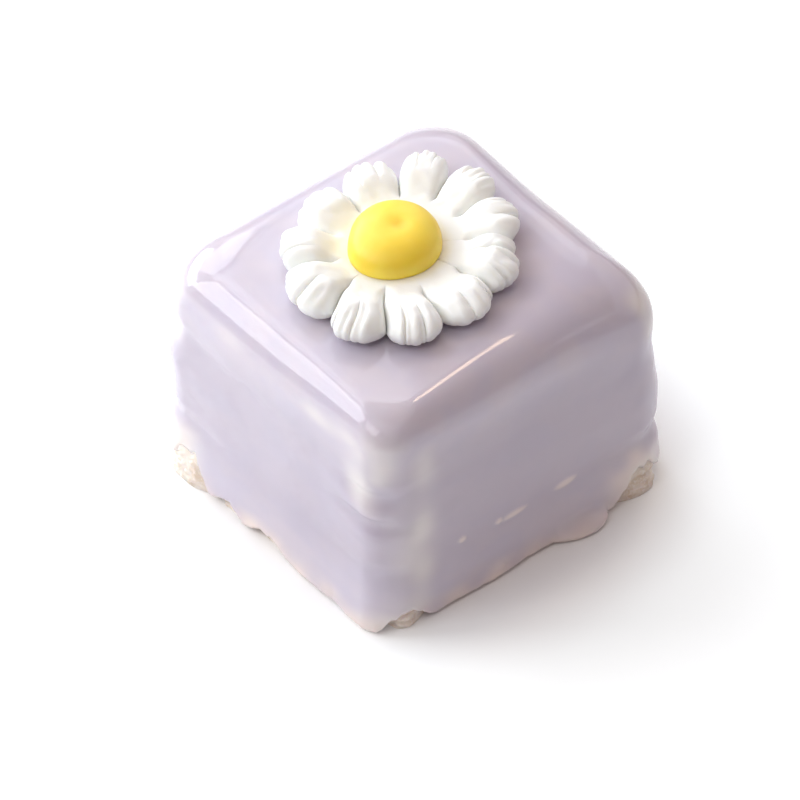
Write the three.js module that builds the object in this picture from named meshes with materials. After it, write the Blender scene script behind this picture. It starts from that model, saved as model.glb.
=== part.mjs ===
// A petit four: a square of layered sponge cake under poured lavender icing, with a sugar daisy on top.
// Millimetres, +Z up. The origin is the middle of the flat underside.
// A place round the cake is a "turn" from 0 to 4: 0, 1, 2 and 3 are the corners (-X -Y), (+X -Y), (+X +Y) and
// (-X +Y), and the turns between two corners run along the face that joins them.
import * as THREE from 'three';

// Driving dimensions of the iced cake
const WIDTH_X = 37.2;
const WIDTH_Y = 38.8;
const HEIGHT = 28;
const CORNER_RADII = [5.2, 3.8, 5.2, 5.6]; // of the upright corners at turns 0, 1, 2 and 3
const EDGE_RADII = [5.4, 4.4, 3.4, 4.9, 7.3, 6.7, 5.1, 5.1]; // of the rounded top edge, at every half turn
const FOOT_SPREAD = 0.75; // the cake settles a little wider at its foot
const SPREAD_POWER = 4; // how low on the side that widening stays
const TOP_CROWN = 0.2;
const COAT = 1.2; // thickness of the icing
const HEM_COAT = 0.6; // thickness at its lower edge
const CLEARANCE = 0.3; // between neighbouring pieces

// The seams between the layers of sponge, which pull the icing in by a depth at each corner. A seam rises by
// its sway towards its turn.
const SEAMS = [
  { height: 7.5, depths: [0.36, 0.2, 0.42, 0.3], sway: 0.4, turn: 0 },
  { height: 14, depths: [0.12, 0.2, 0.04, 0.3], sway: 0.7, turn: 1.2 },
  { height: 19, depths: [0.3, 0.2, 0.05, 0.25], sway: 0.8, turn: 3.8 },
];
const SEAM_REACH = 2; // half the height of a seam's hollow
const FACE_SHARE = 0.22; // a seam's depth in the middle of a face, as a share of its depth at a corner
const CORNER_REACH = 0.42; // how far along a face a corner's deeper seams run, in turns
const SEAM_SHOULDER = 0.8; // where the facets beside a seam begin, as a share of its reach

// Slow waves round the sides, each with its number of crests and its slant
const WAVES = [
  { bulge: 0.14, crests: 2, slant: 0.21, phase: 1 },
  { bulge: 0.08, crests: 5, slant: -0.33, phase: 0 },
];
const SMOOTH_SHOULDER = 6; // the sides' relief fades out over this height below the top

// Where a side stands out further, because the icing has pooled or the sponge is uneven
const BULGES = [
  { turn: 2, width: 1.1, height: 13, reach: 7, bulge: 0.45 },
  { turn: 2.8, width: 0.8, height: 9, reach: 6, bulge: 0.4 },
  { turn: 3.95, width: 0.6, height: 14.5, reach: 3.5, bulge: 0.4 },
];

// The icing's lower edge: where it stops short and bares the sponge, and where it has run out into a drip
const HEM_HEIGHT = 0.4;
const HEM_STEEPNESS = 1.1; // of the edge beside a bare spot
const HEM_BAND = 1.1; // the height of the lowest band of facets
const LEAST_BAND = 0.35; // how close above one another the bands lie over a bare spot
const BARE_SPOTS = [
  { turn: 0.05, reach: 0.2, height: 2.1 },
  { turn: 0.15, reach: 0.13, height: 3.8 },
  { turn: 0.33, reach: 0.1, height: 0.7 },
  { turn: 0.5, reach: 0.1, height: 1.1 },
  { turn: 1.07, reach: 0.08, height: 2 },
  { turn: 1.9, reach: 0.13, height: 3.4 },
  { turn: 2.02, reach: 0.2, height: 1.6 },
  { turn: 2.42, reach: 0.1, height: 0.9 },
  { turn: 2.96, reach: 0.2, height: 2.6 },
  { turn: 3.52, reach: 0.12, height: 1.1 },
];
const DRIPS = [
  { turn: 0.7, reach: 0.1, bulge: 0.2 },
  { turn: 0.9, reach: 0.1, bulge: 0.3 },
  { turn: 1.36, reach: 0.12, bulge: 0.3 },
  { turn: 1.67, reach: 0.09, bulge: 1.6 },
  { turn: 2.22, reach: 0.09, bulge: 0.6 },
  { turn: 2.66, reach: 0.11, bulge: 0.7 },
  { turn: 3.26, reach: 0.09, bulge: 1.2 },
  { turn: 3.74, reach: 0.1, bulge: 0.3 },
];
const DRIP_HEIGHT = 2.6;

// The sponge's foot, which comes out to the icing's face where FLUSH_HEIGHT or more of it is bare. Its
// profile rises from the floor: a share of the foot's height, and how far in from its widest line.
const FLUSH_HEIGHT = 3.6;
const FOOT_RELIEF = 0.2;
const FOOT_PROFILE = [
  { up: 0, tuck: -0.2 },
  { up: 0.3, tuck: 0 },
  { up: 0.8, tuck: 0.05 },
  { up: 0.95, tuck: 0.3 },
];
const LEDGE = 0.4; // the step in from the foot to the icing's hem

// The daisy. Its petals run anticlockwise, and the first two are one petal with a fold between them. First
// comes the crease on a petal's clockwise side: its direction in degrees at the root and at the tips, how far
// from the middle it starts, and how far out the valley between the tips lies. Then come the petal's reach, the
// place of its furthest point, its height, and the dents in its tip. Places across a petal run from -1 to 1.
const DAISY_X = -0.9;
const DAISY_Y = -0.5;
const PETALS = [
  {
    root: 19, side: 13.5, crease: 5.6, valley: 10.7,
    reach: 12.4, peak: 0.2, height: 3.1, dents: [-0.4],
  },
  {
    root: 41, side: 42, crease: 7.8, valley: 10.8,
    reach: 11.4, peak: 0, height: 2.9, dents: [],
  },
  {
    root: 57, side: 54, crease: 5.8, valley: 10.5,
    reach: 12.7, peak: 0.3, height: 2.9, dents: [-0.1, 0.5],
  },
  {
    root: 89, side: 88.5, crease: 6.3, valley: 11.4,
    reach: 14, peak: 0.18, height: 2.8, dents: [-0.25, 0.4],
  },
  {
    root: 116.5, side: 116.5, crease: 6.9, valley: 11.5,
    reach: 14.3, peak: -0.06, height: 2.9, dents: [-0.35, 0.25],
  },
  {
    root: 143, side: 143, crease: 6.7, valley: 11,
    reach: 13, peak: -0.1, height: 2.7, dents: [-0.25, 0.4],
  },
  {
    root: 180, side: 176, crease: 5.9, valley: 10.4,
    reach: 12.1, peak: -0.08, height: 2.8, dents: [-0.45, 0.35],
  },
  {
    root: 218, side: 215, crease: 6.2, valley: 10.9,
    reach: 12.7, peak: 0.06, height: 3, dents: [0, 0.45],
  },
  {
    root: 249, side: 247, crease: 6.6, valley: 12,
    reach: 14.1, peak: 0.39, height: 3.1, dents: [-0.5, 0.1],
  },
  {
    root: 275, side: 284.5, crease: 7, valley: 12.2,
    reach: 15, peak: -0.1, height: 3, dents: [-0.65, 0],
  },
  {
    root: 304, side: 312.2, crease: 6.4, valley: 12.8,
    reach: 14.5, peak: -0.25, height: 2.9, dents: [-0.4, 0.2],
  },
  {
    root: 336, side: 341, crease: 6.2, valley: 11.5,
    reach: 13.1, peak: -0.25, height: 2.8, dents: [-0.2, 0.55],
  },
];
const DAISY_SEAT = HEIGHT + TOP_CROWN + CLEARANCE / 3; // the level of its underside
const EYE_RING = 6; // where the petals begin
const RING_HEIGHT = 1.6; // the petals' thickness there
const TIP_SQUARENESS = 2.6; // how broad and blunt the tips' outline is
const CREST_SHARE = 0.78; // a petal is highest at this share of its reach
const SLANT_START = 6; // a crease runs from its direction at the root, here,
const SLANT_RUN = 7; // to the one at the tips, this much further out
// A crease deepens at its root, and again further out: how far from its start, over what run, by how much
const CREASE_STEPS = [
  { from: 0, run: 2.4, depth: 1.1 },
  { from: 2.4, run: 4, depth: 1 },
];
const CREASE_SHARPNESS = 3;
const DENT_DEPTH = 0.7;
const DENT_NICK = 0.35; // how far a dent cuts into the tip's outline
const DENT_START = 0.68; // where the dents begin, as a share of the reach
const DENT_RUN = 0.25; // and how much further out they reach their full depth
const ROUND = 2; // the power that makes a hump a half circle
const TIP_START = 0.68; // where a petal begins to round off, as a share of the reach
const TIP_LIFT = 0.35; // the petals' tips stand this far off the icing
const SEAT_RADIUS = 8;
const LIFT_RUN = 5; // beyond SEAT_RADIUS they reach that lift
// The rounded rim, from the tip back under the petal: shares of the reach and of the height
const RIM = [
  { out: 0.975, up: 0.16 },
  { out: 0.91, up: 0 },
  { out: 0.55, up: 0 },
];
const RIM_HEIGHT = 0.45; // of the tip's outermost line, as a share of the petal's height

// The daisy's yellow eye, a dome with a shallow dimple beside its top. Its foot has sagged towards one side.
const EYE_X = -1.35;
const EYE_Y = -1.2;
const EYE_RADIUS = 4.75;
const EYE_HEIGHT = 3.3;
const EYE_OVAL = { deg: 320, share: 0.08 }; // it is this much longer in this direction
const EYE_UNDERCUT = 0.1;
const EYE_FULLNESS = 2.6; // the power that makes its profile a little fuller than an ellipse
const SAG = { deg: 280, spread: 65, bulge: 0.6 }; // its direction, half its width in degrees, and its reach
const DIMPLE = { x: 0.5, y: 0.1, depth: 0.2, radius: 1.1 };

// How finely the pieces are faceted
const CAKE_STEPS = 24; // in each quarter turn
const EDGE_RINGS = 6;
const TOP_RINGS = 2;
const INNER_SIDE_RINGS = 4;
const INNER_EDGE_RINGS = 2;
const LOBE_STEPS = 4; // across each lobe of a petal
const PETAL_RINGS = 12;
const EYE_STEPS = 28;
const EYE_RINGS = 8;

const TAU = 2 * Math.PI;
const { clamp, lerp, degToRad, euclideanModulo } = THREE.MathUtils;

const smooth = (x) => {
  const t = clamp(x, 0, 1);
  return t * t * (3 - 2 * t);
};

// A rounded hump over -1 to 1: 1 in the middle, falling steeply to 0 at both ends.
const hump = (x, power) => Math.sqrt(1 - Math.min(1, Math.abs(x)) ** power);

// How far one turn is from another, the short way round.
const turnsApart = (a, b) => Math.abs(((a - b + 6) % 4) - 2);

// 1 at the middle of a corner, falling to 0 along the faces.
const cornerShare = (turn) => smooth(1 - Math.abs(turn - Math.round(turn)) / CORNER_REACH);

// A wave with one crest round the cake, at crestTurn.
const wave = (turn, crestTurn) => Math.cos(((turn - crestTurn) / 4) * TAU);

// A value that changes smoothly round the cake from one of its given values to the next.
function roundMix(values, turn) {
  const place = (turn / 4) * values.length;
  const first = Math.floor(place);
  return lerp(values[first % values.length], values[(first + 1) % values.length], smooth(place - first));
}

// The radius of the rounded top edge.
const edgeRadius = (turn) => roundMix(EDGE_RADII, turn);

// A point of the rounded square's outline, moved in by an inset. The corners keep their radii.
function outlinePoint(turn, inset) {
  const quarter = Math.floor(turn) % 4;
  const [across, out] = quarter % 2 ? [WIDTH_Y, WIDTH_X] : [WIDTH_X, WIDTH_Y];
  const first = CORNER_RADII[quarter];
  const last = CORNER_RADII[(quarter + 1) % 4];
  const straight = across - first - last;
  const distance = (turn - Math.floor(turn)) * ((first + last) * (Math.PI / 4) + straight);
  const past = distance - first * (Math.PI / 4); // beyond the first corner's arc
  const firstAngle = Math.min(past, 0) / first;
  const lastAngle = Math.max(past - straight, 0) / last;
  const reach = across / 2 - inset;
  const along = lerp(first - reach, reach - last, clamp(past / straight, 0, 1));
  const sideways = along + first * Math.sin(firstAngle) + last * Math.sin(lastAngle);
  const outward = out / 2 - inset + first * (Math.cos(firstAngle) - 1) + last * (Math.cos(lastAngle) - 1);
  const point = new THREE.Vector2(outward, sideways);
  return point.rotateAround(new THREE.Vector2(0, 0), (quarter - 1) * (Math.PI / 2));
}

const seamHeight = (seam, turn) => seam.height + seam.sway * wave(turn, seam.turn);

// How far the side stands out at a height: seams pull it in, and bulges and slow waves make it uneven.
function sideRelief(turn, z) {
  const round = (turn / 4) * TAU;
  const share = FACE_SHARE + (1 - FACE_SHARE) * cornerShare(turn);
  let relief = 0;
  for (const { bulge, crests, slant, phase } of WAVES) {
    relief += bulge * Math.sin(crests * round + slant * z + phase);
  }
  for (const seam of SEAMS) {
    const within = smooth(1 - Math.abs(z - seamHeight(seam, turn)) / SEAM_REACH);
    relief -= roundMix(seam.depths, turn) * share * within;
  }
  for (const { turn: middle, width, height, reach, bulge } of BULGES) {
    relief += bulge * smooth(1 - turnsApart(turn, middle) / width) * smooth(1 - Math.abs(z - height) / reach);
  }
  return relief * smooth((HEIGHT - z) / SMOOTH_SHOULDER);
}

// The level of the icing's lower edge.
function hemHeight(turn) {
  const bared = BARE_SPOTS.map(({ turn: middle, reach, height }) => {
    return height * smooth(HEM_STEEPNESS * (1 - turnsApart(turn, middle) / reach));
  });
  return HEM_HEIGHT + Math.max(...bared);
}

// How far a drip stands out at the foot of the icing.
const dripBulge = (turn, z) =>
  Math.max(...DRIPS.map((drip) => drip.bulge * smooth(1 - turnsApart(turn, drip.turn) / drip.reach))) *
  smooth(1 - (z - HEM_HEIGHT) / DRIP_HEIGHT);

// A ring of points round the cake. place(turn) gives each point's inset and height.
function cakeRing(place) {
  return Array.from({ length: 4 * CAKE_STEPS }, (_, i) => {
    const turn = i / CAKE_STEPS;
    const { inset, z } = place(turn);
    const point = outlinePoint(turn, inset);
    return new THREE.Vector3(point.x, point.y, z);
  });
}

// Rings over the rounded edge and the top of the cake, a depth inside the icing's outer face.
function topRings(depth, edgeRings, flatRings) {
  const rings = [];
  for (let i = 0; i <= edgeRings; i++) {
    const angle = ((Math.PI / 2) * i) / edgeRings;
    rings.push(
      cakeRing((turn) => {
        const radius = edgeRadius(turn) - depth;
        const z = HEIGHT - edgeRadius(turn) + radius * Math.sin(angle);
        return { inset: depth + radius * (1 - Math.cos(angle)) - sideRelief(turn, z) * Math.cos(angle), z };
      }),
    );
  }
  const rim = rings.at(-1);
  for (let i = flatRings; i > 0; i--) {
    const share = i / (flatRings + 1);
    const rise = TOP_CROWN * (1 - share ** 2) ** 2;
    rings.push(rim.map((p) => new THREE.Vector3(share * p.x, share * p.y, p.z + rise)));
  }
  return rings;
}

// How far in the side's outer face lies from the outline.
const sideInset = (turn, z) => -FOOT_SPREAD * (1 - z / HEIGHT) ** SPREAD_POWER - sideRelief(turn, z);

// Rings up the outer side: the hem, then one in each seam, one at each of its edges and one between seams.
function outerSideRings() {
  const heights = [() => HEM_HEIGHT, () => HEM_HEIGHT + HEM_BAND];
  for (const seam of SEAMS) {
    for (const share of [-SEAM_SHOULDER, 0, SEAM_SHOULDER]) {
      heights.push((turn) => seamHeight(seam, turn) + share * SEAM_REACH);
    }
    if (seam !== SEAMS.at(-1)) {
      heights.push((turn) => (seamHeight(seam, turn) + seamHeight(SEAMS[SEAMS.indexOf(seam) + 1], turn)) / 2);
    }
  }
  return heights.map((height, i) =>
    cakeRing((turn) => {
      const z = Math.max(height(turn), hemHeight(turn) + LEAST_BAND * i);
      return { inset: sideInset(turn, z) - dripBulge(turn, z), z };
    }),
  );
}

// Rings up a side that lies inside the icing's outer face.
function innerSideRings(depth) {
  return Array.from({ length: INNER_SIDE_RINGS }, (_, i) =>
    cakeRing((turn) => {
      const z = lerp(hemHeight(turn) + COAT, HEIGHT - edgeRadius(turn), i / INNER_SIDE_RINGS);
      return { inset: sideInset(turn, z) + depth, z };
    }),
  );
}

// A closed skin from pole to pole through rings of equal length, which run anticlockwise seen from the first
// pole.
function closedSkin(firstPole, rings, lastPole) {
  const count = rings[0].length;
  const points = [firstPole, ...rings.flat(), lastPole];
  const last = points.length - 1;
  const index = [];
  for (let i = 0; i < count; i++) {
    const next = (i + 1) % count;
    index.push(0, 1 + i, 1 + next);
    for (let ring = 1; ring < rings.length; ring++) {
      const inner = 1 + (ring - 1) * count;
      const outer = 1 + ring * count;
      index.push(inner + i, outer + i, outer + next);
      index.push(inner + i, outer + next, inner + next);
    }
    const end = 1 + (rings.length - 1) * count;
    index.push(last, end + next, end + i);
  }
  const geometry = new THREE.BufferGeometry();
  geometry.setAttribute('position', new THREE.Float32BufferAttribute(points.flatMap((p) => p.toArray()), 3));
  geometry.setIndex(index);
  geometry.computeVertexNormals();
  return geometry;
}

// The icing: its outer face from the top down to the hem, and its inner face back up.
function icingGeometry() {
  const outer = [...outerSideRings(), ...topRings(0, EDGE_RINGS, TOP_RINGS)];
  const hem = cakeRing((turn) => {
    const z = hemHeight(turn);
    return { inset: sideInset(turn, z) + HEM_COAT, z: z + 0.1 };
  });
  const inner = [...innerSideRings(COAT), ...topRings(COAT, INNER_EDGE_RINGS, 1)];
  const top = new THREE.Vector3(0, 0, HEIGHT + TOP_CROWN);
  const ceiling = new THREE.Vector3(0, 0, HEIGHT + TOP_CROWN - COAT);
  return closedSkin(top, [...outer.reverse(), hem, ...inner], ceiling);
}

// The sponge: a block inside the icing, whose foot comes out flush with it where the hem bares most of it.
function spongeGeometry() {
  const depth = COAT + CLEARANCE;
  const footTop = (turn) => hemHeight(turn) - CLEARANCE;
  const bare = (turn) => smooth((hemHeight(turn) - HEM_HEIGHT) / FLUSH_HEIGHT);
  const footInset = (turn) => lerp(depth - FOOT_RELIEF, 0, bare(turn));
  const foot = FOOT_PROFILE.map(({ up, tuck }) =>
    cakeRing((turn) => {
      const z = up * footTop(turn);
      return { inset: sideInset(turn, z) + footInset(turn) + tuck, z };
    }),
  );
  const ledge = cakeRing((turn) => {
    const z = footTop(turn);
    return { inset: sideInset(turn, z) + Math.max(footInset(turn), HEM_COAT) + LEDGE, z };
  });
  const block = [...innerSideRings(depth), ...topRings(depth, INNER_EDGE_RINGS, 1)];
  const top = new THREE.Vector3(0, 0, HEIGHT + TOP_CROWN - depth);
  return closedSkin(top, [...block.reverse(), ledge, ...foot.reverse()], new THREE.Vector3(0, 0, 0));
}

// The reach of a petal's outline at a place across it.
function outlineReach(petal, next, across) {
  const ahead = across > petal.peak;
  const apart = ahead ? (across - petal.peak) / (1 - petal.peak) : (petal.peak - across) / (petal.peak + 1);
  return lerp(petal.reach, ahead ? next.valley : petal.valley, apart ** TIP_SQUARENESS);
}

// The spokes along which the daisy is faceted: LOBE_STEPS across each lobe of a petal, from dent to dent.
// Each has its direction at the root and at the tip, its place across the petal, its height as part of a
// lobe, the reach of the outline there and where the nearer crease starts.
function petalSpokes() {
  const spokes = [];
  PETALS.forEach((petal, i) => {
    const next = PETALS[(i + 1) % PETALS.length];
    const turn = i + 1 < PETALS.length ? 0 : 360;
    const bounds = [-1, ...petal.dents, 1];
    for (let lobe = 1; lobe < bounds.length; lobe++) {
      for (let step = 0; step < LOBE_STEPS; step++) {
        const across = lerp(bounds[lobe - 1], bounds[lobe], step / LOBE_STEPS);
        const rise = hump((2 * step) / LOBE_STEPS - 1, ROUND);
        const share = (across + 1) / 2;
        spokes.push({
          root: degToRad(lerp(petal.root, next.root + turn, share)),
          side: degToRad(lerp(petal.side, next.side + turn, share)),
          across,
          rise,
          reach: outlineReach(petal, next, across) - DENT_NICK * (1 - rise),
          crease: across < 0 ? petal.crease : next.crease,
          petal,
        });
      }
    }
  });
  return spokes;
}

// The thickness of a petal before its tip rounds off.
function petalHeight({ across, rise, crease, petal }, radius) {
  const raised = smooth((radius - EYE_RING) / (petal.reach * CREST_SHARE - EYE_RING));
  const crest = lerp(RING_HEIGHT, petal.height, raised);
  const depths = CREASE_STEPS.map(({ from, run, depth }) => depth * smooth((radius - crease - from) / run));
  const creased = (depths[0] + depths[1]) * (1 - hump(across, CREASE_SHARPNESS));
  const dent = DENT_DEPTH * (1 - rise) * smooth((radius / petal.reach - DENT_START) / DENT_RUN);
  return crest - Math.max(creased, dent);
}

// The daisy's petals, as one piece of moulded sugar that stands on its middle.
function petalsGeometry() {
  const spokes = petalSpokes();
  const ring = (out, up) =>
    spokes.map((spoke) => {
      const radius = out * spoke.reach;
      const underside = DAISY_SEAT + TIP_LIFT * smooth((radius - SEAT_RADIUS) / LIFT_RUN);
      const z = underside + up * petalHeight(spoke, Math.max(radius, EYE_RING));
      const angle = lerp(spoke.root, spoke.side, smooth((radius - SLANT_START) / SLANT_RUN));
      return new THREE.Vector3(radius * Math.cos(angle), radius * Math.sin(angle), z);
    });
  const rings = [];
  for (let i = 1; i <= PETAL_RINGS; i++) {
    const out = Math.sin(((i / PETAL_RINGS) * Math.PI) / 2);
    const tip = Math.max(0, (out - TIP_START) / (1 - TIP_START));
    rings.push(ring(out, lerp(RIM_HEIGHT, 1, hump(tip, ROUND))));
  }
  for (const { out, up } of RIM) {
    rings.push(ring(out, up));
  }
  const middle = new THREE.Vector3(0, 0, DAISY_SEAT + RING_HEIGHT);
  return closedSkin(middle, rings, new THREE.Vector3(0, 0, DAISY_SEAT));
}

// The daisy's eye.
function eyeGeometry() {
  const dimple = (x, y) => {
    const apart = Math.hypot(x - DIMPLE.x, y - DIMPLE.y) / DIMPLE.radius;
    return DIMPLE.depth * Math.exp(-(apart ** 2));
  };
  const ring = (radius, z) =>
    Array.from({ length: EYE_STEPS }, (_, i) => {
      const angle = (TAU * i) / EYE_STEPS;
      const beside = Math.abs(euclideanModulo((i / EYE_STEPS) * 360 - SAG.deg + 180, 360) - 180);
      const sag = SAG.bulge * smooth(1 - beside / SAG.spread) * (radius / EYE_RADIUS) ** 3;
      const reach = radius * (1 + EYE_OVAL.share * Math.cos(angle - degToRad(EYE_OVAL.deg)) ** 2) + sag;
      const x = reach * Math.cos(angle);
      const y = reach * Math.sin(angle);
      return new THREE.Vector3(x, y, Math.max(0, z - dimple(x, y) * smooth(z)));
    });
  const rings = [];
  for (let i = 1; i <= EYE_RINGS; i++) {
    const share = Math.sin(((Math.PI / 2) * i) / EYE_RINGS);
    const rise = Math.max(0, 1 - share ** EYE_FULLNESS) ** (1 / EYE_FULLNESS);
    rings.push(ring(EYE_RADIUS * share, lerp(EYE_UNDERCUT, EYE_HEIGHT, rise)));
  }
  rings.push(ring(EYE_RADIUS - EYE_UNDERCUT, 0));
  return closedSkin(new THREE.Vector3(0, 0, EYE_HEIGHT - dimple(0, 0)), rings, new THREE.Vector3(0, 0, 0));
}

function sugar(color, roughness) {
  return new THREE.MeshStandardMaterial({ color, roughness, metalness: 0 });
}

function named(name, geometry, material) {
  const mesh = new THREE.Mesh(geometry, material);
  mesh.name = name;
  return mesh;
}

const petitFour = new THREE.Group();
petitFour.add(named('sponge', spongeGeometry(), sugar(0xecd6b8, 0.95)));
petitFour.add(named('icing', icingGeometry(), sugar(0xd9cfe3, 0.3)));

const daisy = new THREE.Group();
daisy.position.set(DAISY_X, DAISY_Y, 0);
daisy.add(named('daisy_petals', petalsGeometry(), sugar(0xf7f5ee, 0.7)));
petitFour.add(daisy);

const eye = named('daisy_eye', eyeGeometry(), sugar(0xf6d648, 0.45));
eye.position.set(EYE_X, EYE_Y, DAISY_SEAT + RING_HEIGHT + CLEARANCE / 3);
petitFour.add(eye);

export default petitFour;
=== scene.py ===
# A petit four: sponge cake under glossy poured lavender icing, with a moulded sugar daisy on top.
# The scene is in metres. The sizes named here are millimetres, which MM turns into metres.
# A place round the cake is a "turn" from 0 to 4: 0, 1, 2 and 3 are the corners (-X -Y), (+X -Y), (+X +Y)
# and (-X +Y), and the turns between two corners run along the face that joins them.
import math

import bpy
import numpy as np
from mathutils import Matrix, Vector, noise


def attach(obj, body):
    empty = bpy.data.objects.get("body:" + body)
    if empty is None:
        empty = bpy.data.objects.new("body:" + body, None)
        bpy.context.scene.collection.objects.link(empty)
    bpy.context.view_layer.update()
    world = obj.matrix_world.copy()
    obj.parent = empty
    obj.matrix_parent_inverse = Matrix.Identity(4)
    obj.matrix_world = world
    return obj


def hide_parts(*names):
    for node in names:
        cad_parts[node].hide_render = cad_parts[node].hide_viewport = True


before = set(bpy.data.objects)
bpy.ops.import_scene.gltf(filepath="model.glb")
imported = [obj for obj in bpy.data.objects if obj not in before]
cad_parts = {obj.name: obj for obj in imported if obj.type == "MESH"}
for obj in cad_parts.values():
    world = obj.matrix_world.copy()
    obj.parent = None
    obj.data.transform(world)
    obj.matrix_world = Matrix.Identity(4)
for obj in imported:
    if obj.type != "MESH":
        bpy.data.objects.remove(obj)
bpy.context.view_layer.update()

MM = 0.001
TAU = 2 * math.pi
ROUND = 4  # turns, all the way round the cake

# The iced cake
WIDTH_X = 37.2
WIDTH_Y = 38.8
HEIGHT = 28.0
CORNER_RADII = [5.2, 3.8, 5.2, 5.6]  # of the upright corners at turns 0, 1, 2 and 3
EDGE_RADII = [5.4, 4.4, 3.4, 4.9, 7.3, 6.7, 5.1, 5.1]  # of the rounded top edge, at every half turn
FOOT_SPREAD = 0.75
SPREAD_POWER = 4
TOP_CROWN = 0.2
COAT = 1.2
HEM_COAT = 0.6
CLEARANCE = 0.3

# The seams between the layers of sponge: height, depth at each corner, sway, and the turn towards which
# each rises
SEAMS = [
    (7.5, [0.36, 0.2, 0.42, 0.3], 0.4, 0.0),
    (14.0, [0.12, 0.2, 0.04, 0.3], 0.7, 1.2),
    (19.0, [0.3, 0.2, 0.05, 0.25], 0.8, 3.8),
]
SEAM_REACH = 2.0
FACE_SHARE = 0.22  # of a seam's depth that is left along the faces
CORNER_REACH = 0.42

# Bulges and, where the last value is negative, hollows of the sides: turn, width, height, reach, bulge
BULGES = [
    (2.0, 1.1, 13.0, 7.0, 0.45),
    (2.8, 0.8, 9.0, 6.0, 0.4),
    (3.95, 0.6, 14.5, 3.5, 0.4),
]
# Small folds where the icing has slumped beside the front corner, in the same terms
FOLDS = [
    (0.93, 0.15, 18.2, 1.5, -0.3),
    (0.92, 0.13, 16.3, 1.2, 0.16),
    (0.92, 0.15, 14.5, 1.4, -0.28),
    (0.93, 0.14, 12.6, 1.4, 0.12),
    (1.09, 0.12, 16.6, 1.8, -0.2),
    (3.1, 0.14, 16.0, 1.5, -0.25),
    (3.08, 0.13, 12.8, 1.4, -0.2),
]
# Slow waves round the sides: bulge, crests, slant, phase
SIDE_WAVES = [(0.14, 2, 0.21, 1.0), (0.08, 5, -0.33, 0.0)]
SMOOTH_SHOULDER = 6.0

# The icing's fine unevenness, each part as its relief, the size of its lumps and a seed: runs on the
# sides, which are drawn out downwards, finer lumps on them, and slow waves on the top
RUNS = (0.045, 3.6, 11)
RUN_SQUASH = (1.0, 1.0, 0.45)
LUMPS = (0.018, 1.5, 12)
TOP_WAVES = (0.035, 7.0, 21)
# The runs and lumps end this far below the top, after fading over this height; the top's waves fade
# towards its rim at this rate
FINE_GAP = 1.0
FINE_FADE = 9.0
TOP_FADE = 3

# The icing's lower edge, which curls in by a share of its rounding to a lip, where the skin's inside
# begins
HEM_HEIGHT = 0.16
HEM_ROUNDING = 0.7
HEM_CURL = 0.8
HEM_LIP = 0.15
# Its raggedness: height, crests round the cake and seed, and how ragged it still is, from 0 to 1, where it
# leaves no sponge bare
HEM_WAVES = [(0.09, 60, 3), (0.06, 150, 4)]
LEAST_RAGGED = 0.45
# Where it leaves the sponge bare: turn, reach and height
BARE_SPOTS = [
    (0.05, 0.2, 2.1),
    (0.15, 0.13, 3.8),
    (0.33, 0.09, 1.4),
    (0.5, 0.11, 1.2),
    (1.065, 0.1, 2.1),
    (1.9, 0.13, 3.4),
    (2.02, 0.2, 1.6),
    (2.42, 0.1, 0.9),
    (2.96, 0.2, 2.6),
    (3.52, 0.12, 1.1),
]
BARE_STEEPNESS = 1.1
BARE_WAVE = (0.1, 90, 5)  # as a share of the height, with its crests and seed
# Drips: turn, reach and bulge
DRIPS = [
    (0.7, 0.1, 0.2),
    (0.9, 0.1, 0.3),
    (1.36, 0.12, 0.3),
    (1.67, 0.09, 1.6),
    (2.22, 0.09, 0.6),
    (2.66, 0.11, 0.7),
    (3.26, 0.09, 1.2),
    (3.74, 0.1, 0.3),
]
DRIP_HEIGHT = 2.6
DRIP_ROUNDNESS = 1.6
DRIP_TAPER = 1.5

# Where the icing is paler: where it is so thin that the sponge pales it, and in the bands from about 22 to 27
# high just below the top edges, which are partly painted sheen under the edges' highlight: turn, width,
# lowest, highest, share
THIN_AND_SHEEN_ZONES = [
    (0.0, 0.15, 16.0, 27.5, 0.85),
    (0.1, 0.22, -2.0, 8.5, 0.6),
    (1.0, 0.13, 18.5, 27.8, 0.65),
    (0.91, 0.13, 14.5, 26.0, 0.5),
    (0.8, 0.27, 22.0, 26.3, 0.8),
    (0.45, 0.5, 22.0, 26.8, 0.4),
    (1.1, 0.14, 0.0, 26.0, 0.45),
    (2.0, 0.13, 19.0, 27.0, 0.9),
    (1.92, 0.22, -2.0, 6.5, 0.9),
    (1.0, 0.16, -2.0, 4.0, 0.7),
    (3.0, 0.15, 17.0, 27.5, 0.85),
    (2.3, 0.24, 22.0, 26.3, 0.6),
    (3.5, 0.25, 22.0, 26.3, 0.6),
]
THIN_SOFTNESS = 3.0
# How that share varies, first as a share of itself and then everywhere alike: by how much, the size of
# the blotches and a seed
THIN_BREAKS = (0.45, 2.4, 31)
THIN_BLOTCHES = (0.08, 5.0, 32)
# It ends this far above the height of the top's rim, after fading over this height
THIN_TOP = 0.1
THIN_FADE = 1.6
# Painted glints on the side: beige marks along a ridge that stand in for glints of warm light, each over a
# slight bulge: turn, height, half its length in turns, and half its height
PAINTED_GLINTS = [
    (1.257, 8.4, 0.018, 0.6),
    (1.385, 8.1, 0.016, 0.55),
    (1.44, 7.9, 0.055, 0.6),
    (1.625, 7.8, 0.05, 0.75),
    (1.394, 1.5, 0.018, 0.6),
]
GLINT_RELIEF = 0.12
GLINT_SHARE = 0.75
# The icing's beige foot: its height, its share, and how that varies (by what share of itself, the size of
# the blotches and a seed), then the patches where the crumb tints more of it: turn, width, height and share
BEIGE_HEIGHT = 3.4
BEIGE_SHARE = 0.75
BEIGE_BREAKS = (0.6, 1.8, 33)
BEIGE_PATCHES = [
    (0.1, 0.15, 8.0, 0.75),
    (0.48, 0.18, 3.6, 0.95),
    (1.87, 0.13, 8.5, 0.9),
]
BEIGE_HOLD = 1.5  # so that a patch keeps its full share up to a third of its height

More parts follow.
